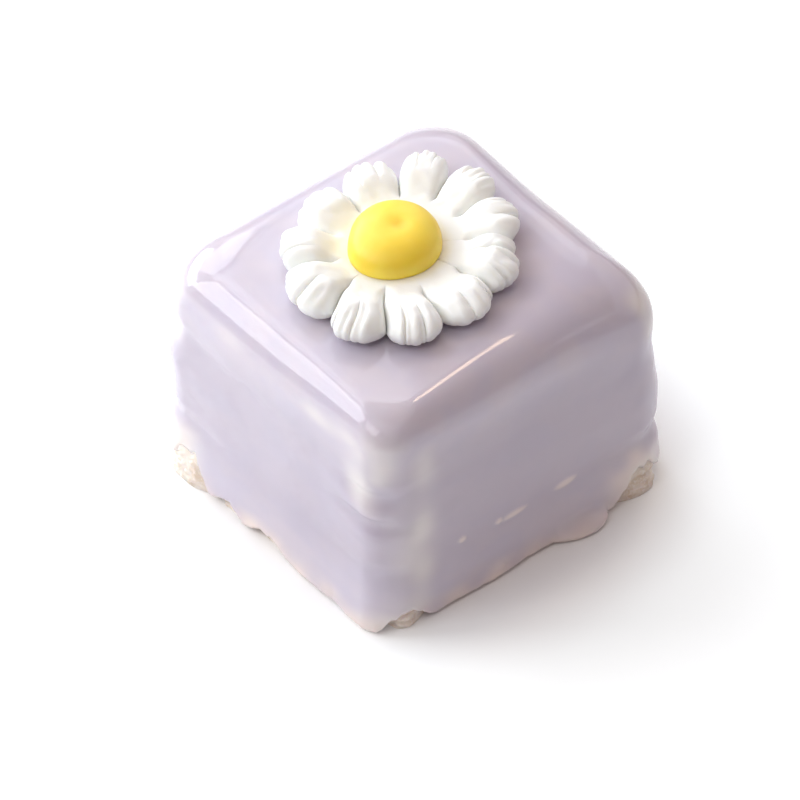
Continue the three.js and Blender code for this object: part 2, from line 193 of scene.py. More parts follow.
# The sponge's foot, which reaches up behind the hem to a ledge. It stands out a little from the block
# behind the icing, and comes out to the icing's face where FLUSH_HEIGHT or more of it is bare.
FLUSH_HEIGHT = 3.6
FOOT_RELIEF = 0.2
FOOT_OVERLAP = 0.25
FOOT_LEDGE = 0.9
# Its edges are tucked in, by a share less where it is bare
FOOT_TUCK = 0.35
FOOT_ROUNDNESS = 6
BARE_UNTUCK = 0.8
# Its crumb's depth and size, and the heights over which that fades at the floor and at the foot's top
CRUMB_DEPTH = 0.22
CRUMB_SIZE = 0.9
CRUMB_FADES = (0.25, 0.2)
# The crumb's form in shares of its depth: how steeply the grains rise, and how high; how deep the pits
# between them lie; and how high the clumps of grains rise, with their rate against the grains
GRAIN_STEEPNESS = 2.2
GRAIN_RISE = 1.3
PIT_DEPTH = 0.9
CLUMP_RISE = 0.5
CLUMP_RATE = 0.4

# The daisy's petals, anticlockwise; the first two are one petal with a fold between them. For each: the
# direction of the crease on its clockwise side in degrees, at its root and at the tips, how far from the
# middle that crease starts and how far the valley there reaches, then the petal's reach, the place of its
# furthest point across it (-1 to 1), its height, its lean (how much higher its anticlockwise side is),
# and the dents in its tip, each with its place across it, where it starts as a share of the reach, and
# its depth
DAISY = (-0.9, -0.5)
PETALS = [
    (19.0, 13.5, 5.6, 10.7, 12.4, 0.2, 3.1, 0.1, [(-0.45, 0.74, 0.45), (0.4, 0.78, 0.35)]),
    (41.0, 42.0, 7.8, 10.8, 11.4, 0.0, 2.9, 0.0, []),
    (57.0, 54.0, 5.8, 10.5, 12.7, 0.3, 2.9, 0.1, [(-0.1, 0.76, 0.75), (0.5, 0.76, 0.65)]),
    (89.0, 88.5, 6.3, 11.4, 14.0, 0.18, 2.8, -0.1, [(-0.25, 0.78, 0.6), (0.4, 0.76, 0.6)]),
    (116.5, 116.5, 6.9, 11.5, 14.3, -0.06, 2.9, 0.1, [(-0.35, 0.8, 0.6), (0.25, 0.76, 0.7)]),
    (143.0, 143.0, 6.7, 11.0, 13.0, -0.1, 2.7, 0.05, [(-0.25, 0.76, 0.65), (0.4, 0.78, 0.5)]),
    (180.0, 176.0, 5.9, 10.4, 12.1, -0.08, 2.8, -0.1, [(-0.45, 0.78, 0.5), (0.35, 0.78, 0.6)]),
    (218.0, 215.0, 6.2, 10.9, 12.7, 0.06, 3.0, 0.1, [(0.0, 0.74, 0.7), (0.45, 0.8, 0.5)]),
    (249.0, 247.0, 6.6, 12.0, 14.1, 0.39, 3.1, 0.1, [(-0.5, 0.8, 0.4), (0.1, 0.72, 0.8)]),
    (275.0, 284.5, 7.0, 12.2, 15.0, -0.1, 3.0, 0.05, [(-0.65, 0.72, 0.5), (0.0, 0.68, 0.65)]),
    (304.0, 312.2, 6.4, 12.8, 14.5, -0.25, 2.9, -0.05, [(-0.4, 0.66, 0.6), (0.2, 0.65, 0.7)]),
    (336.0, 341.0, 6.2, 11.5, 13.1, -0.25, 2.8, 0.15, [(-0.15, 0.66, 0.75), (0.6, 0.68, 0.5)]),
]
DAISY_SEAT = HEIGHT + TOP_CROWN + CLEARANCE / 3
EYE_RING = 6.0
RING_HEIGHT = 1.6
TIP_SQUARENESS = 2.6
CREST_SHARE = 0.78
SLANT_START = 6.0
SLANT_RUN = 7.0
# A crease deepens at its root, and again further out: how far from its start, over what run, by how much
CREASE_STEPS = [(0.0, 1.5, 1.5), (1.6, 4.0, 1.15)]
CREASE_SHARPNESS = 4.2
NO_DENT = (1.0, 0.0)  # the start and depth of what stands for a dent at a petal's two sides
DENT_NICK = 0.4
DENT_RUN = 0.22
LOBE_SHARPNESS = 2.3
# The fine toes that crimp each petal's tip: how many, how wide the narrowest and widest are against each
# other, the depth of the grooves between them, the nicks in which those end, the least and greatest share
# of the reach at which they start, over what share they deepen, and the seed of the first petal's toes
TOES = 5
TOE_WIDTHS = (0.6, 1.4)
TOE_ROUNDNESS = 2.6
TOE_DEPTH = 0.42
TOE_NICK = 0.3
TOE_STARTS = (0.72, 0.88)
TOE_RUN = 0.12
TOE_SEED = 60
TIP_START = 0.68
TIP_ROUNDNESS = 2.2
TIP_LIFT = 0.35
RIM_HEIGHT = 0.42
RIM_TUCK = 0.07
SEAT_RADIUS = 8.0
LIFT_RUN = 5.0
UNDER_SHARE = 0.55  # of the reach, for the last ring of the petals' flat underside
# Specks and knobs of sugar on the petals: x, y, radius and height
KNOBS = [(2.5, 13.1, 0.55, 0.5), (8.0, 6.3, 1.5, 0.35)]
KNOB_ROUNDNESS = 2
# The petals' unevenness, each part as its relief, the size of its lumps and a seed
PETAL_LUMPS = (0.08, 1.4, 41)
PETAL_GRIT = (0.035, 0.6, 42)

# The daisy's eye, a dome whose foot has sagged towards one side
EYE = (-1.35, -1.2)
EYE_RADIUS = 4.75
EYE_HEIGHT = 3.3
OVAL_TOWARDS = 320.0  # it is longer in this direction, in degrees
OVAL_SHARE = 0.08  # by this share
EYE_UNDERCUT = 0.1
EYE_FULLNESS = 2.6
EYE_LUMPS = (0.04, 1.8, 51)  # in the same terms as the petals'
SAG_TOWARDS = 280.0
SAG_SIDEWAYS = 65.0  # degrees to either side
SAG_REACH = 0.6
SAG_POWER = 3  # by which it grows towards the foot
EYE_GAP = 0.02  # between it and the petals
YELLOW_REACH = 1.8  # of its yellow round its foot
DIMPLE = (0.5, 0.1)
DIMPLE_DEPTH = 0.2
DIMPLE_RADIUS = 1.1

# How finely the pieces are meshed. The side's rows crowd together towards the hem by a power.
ROUND_STEPS = 512
SIDE_ROWS = 96
HEM_CROWDING = 1.25
EDGE_ROWS = 26
TOP_ROWS = 22
INNER_ROWS = 6
FOOT_ROWS = 34
LOBE_STEPS = 16
PETAL_ROWS = 66
RIM_ROWS = 6
EYE_STEPS = 96
EYE_ROWS = 40

# The materials' colours. Those in pairs are mixed in blotches.
LAVENDER = ((0.573, 0.525, 0.612), (0.608, 0.547, 0.608))
# This deeper lavender is painted shade, darkening the sides halfway up
SHADED_LAVENDER = (0.455, 0.405, 0.485)
PALE_ICING = (0.79, 0.75, 0.72)
# This beige also colours the painted glints on the side
BEIGE_ICING = (0.82, 0.71, 0.66)
SPONGE_TONES = ((0.84, 0.76, 0.67), (0.72, 0.6, 0.48))
FINE_CRUMB = (0.84, 0.75, 0.7)
SUGAR_WHITES = ((0.872, 0.884, 0.856), (0.892, 0.905, 0.886))
YELLOW_NEAR_EYE = (0.95, 0.84, 0.5)
YELLOWS = ((0.98, 0.7, 0.06), (0.99, 0.74, 0.08))
# The dimple's deeper yellow is partly the paste's own orange and partly painted shade
DIMPLE_ORANGE_AND_SHADE = (0.86, 0.5, 0.03)
FLOOR_WHITES = ((0.93, 0.925, 0.92), (0.95, 0.945, 0.94))
# The sides' middle, darkened by painted shade by this share, between these heights below and above, and the
# heights over which the icing turns from the sides' roughness to the top's
SIDE_SHADE_SHARE = 0.55
SIDE_SHADE_FROM = (2.0, 9.0)
SIDE_SHADE_TO = (19.0, 25.0)
SHINE_HEIGHTS = (19.0, 26.0)
SIDE_ROUGHNESS = 0.24
TOP_ROUGHNESS = 0.07
# The places of the two colours and of the result among a mix node's sockets
MIX_COLOURS = (6, 7)
MIX_RESULT = 2

# The view: the direction from which the camera looks, its distance, and where the picture's middle falls
AZIMUTH_DEG = 50.1
ELEVATION_DEG = 43.5
CAMERA_DISTANCE = 700.0
PIXELS_PER_MM = 9.7
PICTURE_SIDE = 800
SENSOR = 36.0
AIM_HEIGHT = 14.0
AIM_RIGHT_PIXELS = -13
AIM_UP_PIXELS = -39
CLIP_END = 20.0  # metres

# Soft boxes round the cake: azimuth (0 is -Y and 90 is +X), elevation, distance in metres, width and
# height in degrees as seen from it, brightness and colour
LIGHTS = [
    ("window_front", -45.0, 33.0, 0.3, (23.0, 32.0), 5.0, (0.94, 0.97, 1.0)),
    ("window_high", -64.0, 50.0, 0.3, (30.0, 16.0), 1.4, (0.94, 0.96, 1.0)),
    ("left_high", -98.0, 34.0, 0.3, (34.0, 18.0), 3.3, (0.88, 0.94, 1.0)),
    ("left_low", -79.0, 17.0, 0.3, (44.0, 15.0), 7.6, (0.8, 0.93, 1.0)),
    ("left_back", -130.0, 30.0, 0.4, (42.0, 24.0), 1.2, (0.86, 0.93, 1.0)),
    ("left_top", -98.0, 54.0, 0.3, (42.0, 18.0), 2.1, (0.88, 0.9, 1.0)),
    ("front_high", -4.0, 42.0, 0.4, (30.0, 24.0), 3.1, (0.94, 0.96, 1.0)),
    ("front_top", 30.0, 62.0, 0.4, (50.0, 30.0), 0.85, (0.96, 0.98, 1.0)),
    ("ceiling", -90.0, 84.0, 0.8, (60.0, 60.0), 0.38, (0.95, 1.0, 0.8)),
    ("back", 180.0, 22.0, 0.8, (90.0, 30.0), 0.8, (0.95, 0.92, 1.0)),
    ("lamp", -171.0, 66.2, 0.127, (8.0, 8.0), 10.0, (1.0, 0.72, 0.5)),
]
ROOM_COLOUR = (1.0, 0.68, 0.66)
ROOM_BRIGHTNESS = 0.17
# The white floor reaches this far to each side, in metres. It glows from so far from the cake's middle,
# and fully from so far.
FLOOR_HALF = 4.0
GLOW_START = 21.0
GLOW_FULL = 34.0
GLOW = 0.33
GLOW_COLOUR = (0.82, 0.95, 1.0)
# Behind the cake the floor is duller, so that it doesn't whiten the icing's far edges: in which
# direction, from where to where, and how dull
DULL_WAY = (-0.707, 0.707, 0.0)
DULL_START = 24.0
DULL_FULL = 34.0
DULL_FLOOR = (0.7, 0.67, 0.65)

# Random fields are sums of so many waves. Their lengths, or the number of their crests, lie between these
# multiples of what is asked for.
FIELD_WAVES = 18
FIELD_LENGTHS = (1.4, 2.8)
RIPPLE_WAVES = 8
RIPPLE_CRESTS = (0.6, 1.5)


def smooth(x):
    """A smooth curve that rises from 0 to 1 as x does, and is flat beyond."""
    t = np.clip(x, 0.0, 1.0)
    return t * t * (3.0 - 2.0 * t)


def lerp(a, b, share):
    return a + (b - a) * share


def hump(x, power):
    """A rounded hump over -1 to 1: 1 in the middle, falling steeply to 0 at both ends."""
    return np.sqrt(1.0 - np.minimum(1.0, np.abs(x)) ** power)


def turns_apart(a, b):
    return np.abs((a - b + 1.5 * ROUND) % ROUND - ROUND / 2)


def unevenness(points, relief, size, seed):
    """A smooth random field of about -relief to relief with bumps of a size, the same in every run."""
    random = np.random.default_rng(seed)
    ways = random.normal(size=(FIELD_WAVES, 3))
    ways /= np.linalg.norm(ways, axis=1, keepdims=True)
    ways *= TAU / (size * random.uniform(*FIELD_LENGTHS, size=(FIELD_WAVES, 1)))
    phases = random.uniform(0.0, TAU, size=FIELD_WAVES)
    return relief * (np.sin(points @ ways.T + phases).sum(axis=-1) / math.sqrt(2 * FIELD_WAVES))


def ripple(turn, relief, crests, seed):
    """A random wave of about -relief to relief along the turns, with about so many crests in all."""
    random = np.random.default_rng(seed)
    fewest, most = (int(share * crests) for share in RIPPLE_CRESTS)
    total = 0.0
    for phase in random.uniform(0.0, TAU, size=RIPPLE_WAVES):
        total = total + np.sin(random.integers(fewest, most) * turn / ROUND * TAU + phase)
    return relief * (total / math.sqrt(2 * RIPPLE_WAVES))


def round_turns():
    """The turns at which the cake is meshed."""
    return np.arange(ROUND_STEPS) * ROUND / ROUND_STEPS


def round_mix(values, turn):
    """A value that changes smoothly round the cake from one of its given values to the next."""
    values = np.array(values)
    place = turn / ROUND * len(values)
    first = np.floor(place).astype(int)
    return lerp(values[first % len(values)], values[(first + 1) % len(values)], smooth(place - first))


def outline(turn, inset):
    """The rounded square's outline, moved in by an inset, as x and y. The corners keep their radii."""
    quarter = np.floor(turn).astype(int) % ROUND
    radii = np.array(CORNER_RADII)
    across = np.where(quarter % 2, WIDTH_Y, WIDTH_X)
    out = np.where(quarter % 2, WIDTH_X, WIDTH_Y)
    first = radii[quarter]
    last = radii[(quarter + 1) % ROUND]
    straight = across - first - last
    past = (turn - np.floor(turn)) * ((first + last) * math.pi / 4 + straight) - first * math.pi / 4
    first_angle = np.minimum(past, 0.0) / first
    last_angle = np.maximum(past - straight, 0.0) / last
    reach = across / 2 - inset
    along = lerp(first - reach, reach - last, np.clip(past / straight, 0.0, 1.0))
    sideways = along + first * np.sin(first_angle) + last * np.sin(last_angle)
    outward = out / 2 - inset + first * (np.cos(first_angle) - 1) + last * (np.cos(last_angle) - 1)
    cosine = np.cos((quarter - 1) * math.pi / 2)
    sine = np.sin((quarter - 1) * math.pi / 2)
    return outward * cosine - sideways * sine, outward * sine + sideways * cosine


def cake_ring(turn, inset, z):
    x, y = outline(turn, inset)
    return np.stack([x, y, z + np.zeros_like(turn)], axis=-1)


def side_relief(turn, z):
    """How far the side stands out: seams pull it in, and bulges, folds and slow waves make it uneven."""
    relief = 0.0
    for bulge, crests, slant, phase in SIDE_WAVES:
        relief = relief + bulge * np.sin(crests * turn / ROUND * TAU + slant * z + phase)
    corner = smooth(1 - np.abs(turn - np.round(turn)) / CORNER_REACH)
    share = FACE_SHARE + (1 - FACE_SHARE) * corner
    for height, depths, sway, crest in SEAMS:
        level = height + sway * np.cos((turn - crest) / ROUND * TAU)
        relief = relief - round_mix(depths, turn) * share * smooth(1 - np.abs(z - level) / SEAM_REACH)
    for middle, width, height, reach, bulge in BULGES + FOLDS:
        beside = smooth(1 - turns_apart(turn, middle) / width)
        relief = relief + bulge * beside * smooth(1 - np.abs(z - height) / reach)
    return relief * smooth((HEIGHT - z) / SMOOTH_SHOULDER)


def side_inset(turn, z):
    return -FOOT_SPREAD * (1 - z / HEIGHT) ** SPREAD_POWER - side_relief(turn, z)


def bared(turn):
    """The height of sponge that the icing leaves bare."""
    heights = [
        height * smooth(BARE_STEEPNESS * (1 - turns_apart(turn, middle) / reach))
        for middle, reach, height in BARE_SPOTS
    ]
    return np.max(heights, axis=0)


def hem_height(turn):
    bare = bared(turn)
    ragged = sum(ripple(turn, *wave) for wave in HEM_WAVES)
    return HEM_HEIGHT + bare * (1 + ripple(turn, *BARE_WAVE)) + ragged * smooth(LEAST_RAGGED + bare)


def drip_bulge(turn, z):
    bulges = [
        bulge * hump(turns_apart(turn, middle) / reach, DRIP_ROUNDNESS) ** DRIP_TAPER
        for middle, reach, bulge in DRIPS
    ]
    return np.max(bulges, axis=0) * smooth(1 - (z - HEM_HEIGHT) / DRIP_HEIGHT)


def hem_rounding(above):
    """How far the icing's thick lower edge curls in, a height above it."""
    rise = np.clip(above / HEM_ROUNDING, 0.0, 1.0)
    return HEM_ROUNDING * (1 - np.sqrt(1 - (1 - rise) ** 2)) * HEM_CURL


# How strongly each painted glint shows, from 0 to 1
def painted_glint_share(turn, z):
    shares = [
        smooth(1 - ((turn - middle) / half_length) ** 2 - ((z - height) / half_height) ** 2)
        for middle, height, half_length, half_height in PAINTED_GLINTS
    ]
    return np.max(shares, axis=0)


def fine_relief(points):
    """The icing's own unevenness on the sides, drawn out downwards where it ran, over the crumb beneath."""
    relief = unevenness(points * np.array(RUN_SQUASH), *RUNS) + unevenness(points, *LUMPS)
    return relief * smooth((HEIGHT - FINE_GAP - points[..., 2]) / FINE_FADE)


def side_rings():
    """The icing's outer face from the hem up to where the top edge begins to round off."""
    turn = round_turns()
    hem = hem_height(turn)
    top = HEIGHT - round_mix(EDGE_RADII, turn)
    rings = []
    for i in range(SIDE_ROWS):
        z = lerp(hem, top, (i / SIDE_ROWS) ** HEM_CROWDING)
        inset = side_inset(turn, z) - drip_bulge(turn, z) + hem_rounding(z - hem)
        # a slight bulge under each painted glint
        inset = inset - fine_relief(cake_ring(turn, inset, z)) - GLINT_RELIEF * painted_glint_share(turn, z)
        rings.append(cake_ring(turn, inset, z))
    return rings


def top_rings(depth, edge_rows, flat_rows):
    """Rings over the rounded edge and the top, a depth inside the icing's outer face."""
    turn = round_turns()
    edge = round_mix(EDGE_RADII, turn)
    radius = edge - depth
    rings = []
    for i in range(edge_rows + 1):
        angle = math.pi / 2 * i / edge_rows
        z = HEIGHT - edge + radius * math.sin(angle)
        inset = depth + radius * (1 - math.cos(angle)) - side_relief(turn, z) * math.cos(angle)
        inset = inset - fine_relief(cake_ring(turn, inset, z)) * math.cos(angle)
        rings.append(cake_ring(turn, inset, z))
    rim = rings[-1]
    for i in range(flat_rows, 0, -1):
        share = i / (flat_rows + 1)
        ring = rim * np.array([share, share, 1.0])
        slow = unevenness(ring, *TOP_WAVES) * smooth(TOP_FADE * (1 - share))
        ring[:, 2] += TOP_CROWN * (1 - share**2) ** 2 + slow
        rings.append(ring)
    return rings


def inner_rings(depth):
    turn = round_turns()
    low = hem_height(turn) + COAT
    high = HEIGHT - round_mix(EDGE_RADII, turn)
    rings = []
    for i in range(INNER_ROWS):
        z = lerp(low, high, i / INNER_ROWS)
        rings.append(cake_ring(turn, side_inset(turn, z) + depth, z))
    return rings


def closed_skin(name, first_pole, rings, last_pole):
    """A closed mesh from pole to pole through rings, which run anticlockwise seen from the first pole."""
    count = len(rings[0])
    points = np.vstack([[first_pole], *rings, [last_pole]]) * MM
    here = np.arange(count)
    after = (here + 1) % count
    last = len(points) - 1
    faces = [(0, 1 + i, 1 + j) for i, j in zip(here.tolist(), after.tolist())]
    for ring in range(len(rings) - 1):
        inner = 1 + ring * count
        outer = inner + count
        quads = np.stack([inner + here, outer + here, outer + after, inner + after], axis=1)
        faces.extend(quads.tolist())
    end = 1 + (len(rings) - 1) * count
    faces.extend((last, end + j, end + i) for i, j in zip(here.tolist(), after.tolist()))
    mesh = bpy.data.meshes.new(name)
    mesh.from_pydata(points.tolist(), [], faces)
    mesh.update()
    mesh.shade_smooth()
    piece = bpy.data.objects.new(name, mesh)
    bpy.context.scene.collection.objects.link(piece)
    return piece


def store(piece, name, values):
    """Keeps a value for each vertex, for the material to read."""
    attribute = piece.data.attributes.new(name, "FLOAT", "POINT")
    attribute.data.foreach_set("value", np.asarray(values, dtype=np.float32))


def thin_and_sheen_share(turn, points):
    """How much the icing is paled: by the sponge where it is thin, and as painted sheen in the bands below
    the top edges.
    """
    z = points[:, 2]
    share = 0.0
    for middle, width, low, high, most in THIN_AND_SHEEN_ZONES:
        beside = smooth(1 - turns_apart(turn, middle) / width)
        level = smooth((z - low) / THIN_SOFTNESS) * smooth((high - z) / THIN_SOFTNESS)
        share = np.maximum(share, most * beside * level)
    share = share * (1 + unevenness(points, *THIN_BREAKS)) + unevenness(points, *THIN_BLOTCHES)
    return np.clip(share, 0.0, 1.0) * smooth((HEIGHT + THIN_TOP - z) / THIN_FADE)


def beige_share(turn, points):
    """How much crumb tints the icing's foot, and the beige of its painted glints."""
    z = points[:, 2]
    share = BEIGE_SHARE * smooth(1 - z / BEIGE_HEIGHT)
    for middle, width, height, most in BEIGE_PATCHES:
        beside = smooth(1 - turns_apart(turn, middle) / width)
        share = np.maximum(share, most * beside * smooth(BEIGE_HOLD - BEIGE_HOLD * z / height))
    share = share * (1 + unevenness(points, *BEIGE_BREAKS))
    return np.clip(np.maximum(share, GLINT_SHARE * painted_glint_share(turn, z)), 0.0, 1.0)


def make_icing():
    turn = round_turns()
    outer = side_rings() + top_rings(0.0, EDGE_ROWS, TOP_ROWS)
    hem = hem_height(turn)
    under = cake_ring(turn, side_inset(turn, hem) + HEM_ROUNDING * HEM_CURL + HEM_COAT, hem + HEM_LIP)
    inner = inner_rings(COAT) + top_rings(COAT, edge_rows=4, flat_rows=2)
    top = (0.0, 0.0, HEIGHT + TOP_CROWN)
    ceiling = (0.0, 0.0, HEIGHT + TOP_CROWN - COAT)
    rings = outer[::-1] + [under] + inner
    piece = closed_skin("poured_icing", top, rings, ceiling)
    for name, share in (("thin", thin_and_sheen_share), ("beige", beige_share)):
        store(piece, name, np.concatenate([[0.0], *[share(turn, ring) for ring in rings], [0.0]]))
    return piece


def crumb(points):
    """Open-crumbed relief of sponge from about -1 to 1: rounded grains with pits between them."""
    relief = []
    for place in (points / CRUMB_SIZE).tolist():
        nearest = noise.voronoi(Vector(place))[0]
        grain = min(1.0, GRAIN_STEEPNESS * (nearest[1] - nearest[0]))
        clump = noise.noise(Vector(place) * CLUMP_RATE)
        relief.append(grain * GRAIN_RISE - PIT_DEPTH + CLUMP_RISE * clump)
    return np.array(relief)


def make_sponge():
    turn = round_turns()
    depth = COAT + CLEARANCE
    top = hem_height(turn) + FOOT_OVERLAP
    bare = smooth(bared(turn) / FLUSH_HEIGHT)
    inset = lerp(depth - FOOT_RELIEF, 0.0, bare)
    foot = []
    for i in range(FOOT_ROWS + 1):
        share = i / FOOT_ROWS
        z = top * share
        tuck = FOOT_TUCK * (1 - hump(2 * share - 1, FOOT_ROUNDNESS)) * (1 - BARE_UNTUCK * bare)
        ring = cake_ring(turn, side_inset(turn, z) + inset + tuck, z)
        relief = crumb(ring) * CRUMB_DEPTH * smooth(z / CRUMB_FADES[0]) * smooth((top - z) / CRUMB_FADES[1])
        foot.append(cake_ring(turn, side_inset(turn, z) + inset + tuck - relief, z))
    block = inner_rings(depth) + top_rings(depth, edge_rows=3, flat_rows=1)
    ledge = cake_ring(turn, side_inset(turn, top) + np.maximum(inset, HEM_COAT) + FOOT_LEDGE, top)
    ceiling = (0.0, 0.0, HEIGHT + TOP_CROWN - depth)
    return closed_skin("sponge_cake", ceiling, block[::-1] + [ledge] + foot[::-1], (0.0, 0.0, 0.0))


def outline_reach(petal, following, across):
    """The reach of a petal's outline at a place across it."""
    valley, reach, peak = petal[3:6]
    if across > peak:
        return lerp(reach, following[3], ((across - peak) / (1 - peak)) ** TIP_SQUARENESS)
    return lerp(reach, valley, ((peak - across) / (1 + peak)) ** TIP_SQUARENESS)


def fine_toe(index, across):
    """The rise of a petal's fine toe at a place across it, and where the nearer groove starts."""
    random = np.random.default_rng(TOE_SEED + index)
    edges = np.concatenate([[0.0], np.cumsum(random.uniform(*TOE_WIDTHS, TOES))])
    edges = 2 * edges / edges[-1] - 1
    starts = random.uniform(*TOE_STARTS, TOES + 1)
    toe = min(TOES - 1, int(np.searchsorted(edges, across, side="right")) - 1)
    place = (across - edges[toe]) / (edges[toe + 1] - edges[toe])
    return float(hump(2 * place - 1, TOE_ROUNDNESS)), starts[toe + int(place > 0.5)]


def petal_spoke(index, low, high, place):
    """What one direction of a petal is made from, at a place from 0 to 1 between two dents of its tip."""
    petal = PETALS[index]
    following = PETALS[(index + 1) % len(PETALS)]
    turn = 360.0 if index + 1 == len(PETALS) else 0.0
    root, side, crease, _, reach, _, height, lean, _ = petal
    across = lerp(low[0], high[0], place)
    share = (across + 1) / 2
    rise = float(hump(2 * place - 1, LOBE_SHARPNESS))
    toe, toe_start = fine_toe(index, across)
    _, dent_start, dent_depth = low if place < 0.5 else high
    return {
        "root": math.radians(lerp(root, following[0] + turn, share)),
        "side": math.radians(lerp(side, following[1] + turn, share)),
        "across": across,
        "rise": rise,
        "tip": outline_reach(petal, following, across) - DENT_NICK * (1 - rise) - TOE_NICK * (1 - toe),
        "crease": crease if across < 0 else following[2],
        "reach": reach,
        "height": height,
        "lean": lean,
        "dent_start": dent_start,
        "dent_depth": dent_depth,
        "toe": toe,
        "toe_start": toe_start,
    }


def petal_spokes():
    """The directions in which the petals are meshed, as arrays of one value for each direction."""
    spokes = []
    for index, petal in enumerate(PETALS):
        stops = [(-1.0, *NO_DENT), *petal[-1], (1.0, *NO_DENT)]
        for low, high in zip(stops, stops[1:]):
            for step in range(LOBE_STEPS):
                place = (1 - math.cos(math.pi * step / LOBE_STEPS)) / 2
                spokes.append(petal_spoke(index, low, high, place))
    return {name: np.array([spoke[name] for spoke in spokes]) for name in spokes[0]}


def petal_height(spoke, radius):
    """The thickness of the petals before their tips round off."""
    out = smooth((radius - EYE_RING) / (spoke["reach"] * CREST_SHARE - EYE_RING))
    crest = lerp(RING_HEIGHT, spoke["height"], out) + spoke["lean"] * spoke["across"] * out
    along = radius - spoke["crease"]
    depth = sum(deep * smooth((along - start) / run) for start, run, deep in CREASE_STEPS)
    crease = depth * (1 - hump(spoke["across"], CREASE_SHARPNESS))
    dented = smooth((radius / spoke["reach"] - spoke["dent_start"]) / DENT_RUN)
    dent = spoke["dent_depth"] * (1 - spoke["rise"]) * dented
    return crest - np.maximum(crease, dent)


def petal_ring(spoke, out, up):
    """A ring through the petals, a share out towards their tips and a share up from their underside."""
    radius = out * spoke["tip"]
    under = DAISY_SEAT + TIP_LIFT * smooth((radius - SEAT_RADIUS) / LIFT_RUN)
    angle = lerp(spoke["root"], spoke["side"], smooth((radius - SLANT_START) / SLANT_RUN))
    x = radius * np.cos(angle)
    y = radius * np.sin(angle)
    points = np.stack([x, y, under], axis=1)
    uneven = unevenness(points, *PETAL_LUMPS) + unevenness(points, *PETAL_GRIT)
    uneven = uneven - TOE_DEPTH * (1 - spoke["toe"]) * smooth((out - spoke["toe_start"]) / TOE_RUN)
    height = petal_height(spoke, np.maximum(radius, EYE_RING))
    points[:, 2] += up * (height + uneven * smooth(radius - EYE_RING))
    for knob_x, knob_y, size, rise in KNOBS:
        points[:, 2] += up * rise * hump(np.hypot(x - knob_x, y - knob_y) / size, KNOB_ROUNDNESS)
    return points + np.array([*DAISY, 0.0])


def make_petals():
    spoke = petal_spokes()
    rings = []
    for i in range(1, PETAL_ROWS + 1):
        out = math.sin(i / PETAL_ROWS * math.pi / 2)
        tip = max(0.0, (out - TIP_START) / (1 - TIP_START))
        rings.append(petal_ring(spoke, out, lerp(RIM_HEIGHT, 1.0, float(hump(tip, TIP_ROUNDNESS)))))
    for i in range(1, RIM_ROWS + 1):
        angle = math.pi / 2 * i / RIM_ROWS
        out = 1 - RIM_TUCK * (1 - math.cos(angle))
        rings.append(petal_ring(spoke, out, RIM_HEIGHT * (1 - math.sin(angle))))
    rings.append(petal_ring(spoke, UNDER_SHARE, 0.0))
    middle = (*DAISY, DAISY_SEAT + RING_HEIGHT)
    foot = (*DAISY, DAISY_SEAT)
    piece = closed_skin("sugar_petals", middle, rings, foot)
    points = np.vstack([[middle], *rings, [foot]])
    beyond = np.hypot(points[:, 0] - EYE[0], points[:, 1] - EYE[1]) - EYE_RADIUS
    store(piece, "yellow", smooth(1 - beyond / YELLOW_REACH))
    return piece


def dimple_share(x, y):
    """How deep the eye's dimple is at a place from its middle, from 0 to 1."""
    return np.exp(-((x - DIMPLE[0]) ** 2 + (y - DIMPLE[1]) ** 2) / DIMPLE_RADIUS**2)


def eye_ring(radius, height):
    """A ring round the daisy's eye, whose radius grows along its oval and where its foot has sagged."""
    angle = np.arange(EYE_STEPS) * TAU / EYE_STEPS
    oval = 1 + OVAL_SHARE * np.cos(angle - math.radians(OVAL_TOWARDS)) ** 2
    beside = np.abs((np.degrees(angle) - SAG_TOWARDS + 180.0) % 360.0 - 180.0)
    sag = SAG_REACH * smooth(1 - beside / SAG_SIDEWAYS)
    reach = radius * oval + sag * (radius / EYE_RADIUS) ** SAG_POWER
    x = reach * np.cos(angle)
    y = reach * np.sin(angle)
    z = height + np.zeros_like(x)
    uneven = unevenness(np.stack([x, y, z], axis=1), *EYE_LUMPS) - DIMPLE_DEPTH * dimple_share(x, y)
    z = np.maximum(z + uneven * smooth(z), 0.0)
    return np.stack([x + EYE[0], y + EYE[1], z + DAISY_SEAT + RING_HEIGHT + EYE_GAP], axis=1)


def make_eye():
    rings = []
    for i in range(1, EYE_ROWS + 1):
        share = math.sin(math.pi / 2 * i / EYE_ROWS)
        rise = (1 - share**EYE_FULLNESS) ** (1 / EYE_FULLNESS)
        rings.append(eye_ring(EYE_RADIUS * share, lerp(EYE_UNDERCUT, EYE_HEIGHT, rise)))
    rings.append(eye_ring(EYE_RADIUS - EYE_UNDERCUT, 0.0))
    base = DAISY_SEAT + RING_HEIGHT + EYE_GAP
    top = (*EYE, base + EYE_HEIGHT - DIMPLE_DEPTH * float(dimple_share(0.0, 0.0)))
    foot = (*EYE, base)
    piece = closed_skin("sugar_eye", top, rings, foot)
    points = np.vstack([[top], *rings, [foot]])
    store(piece, "dimple", dimple_share(points[:, 0] - EYE[0], points[:, 1] - EYE[1]))
    return piece


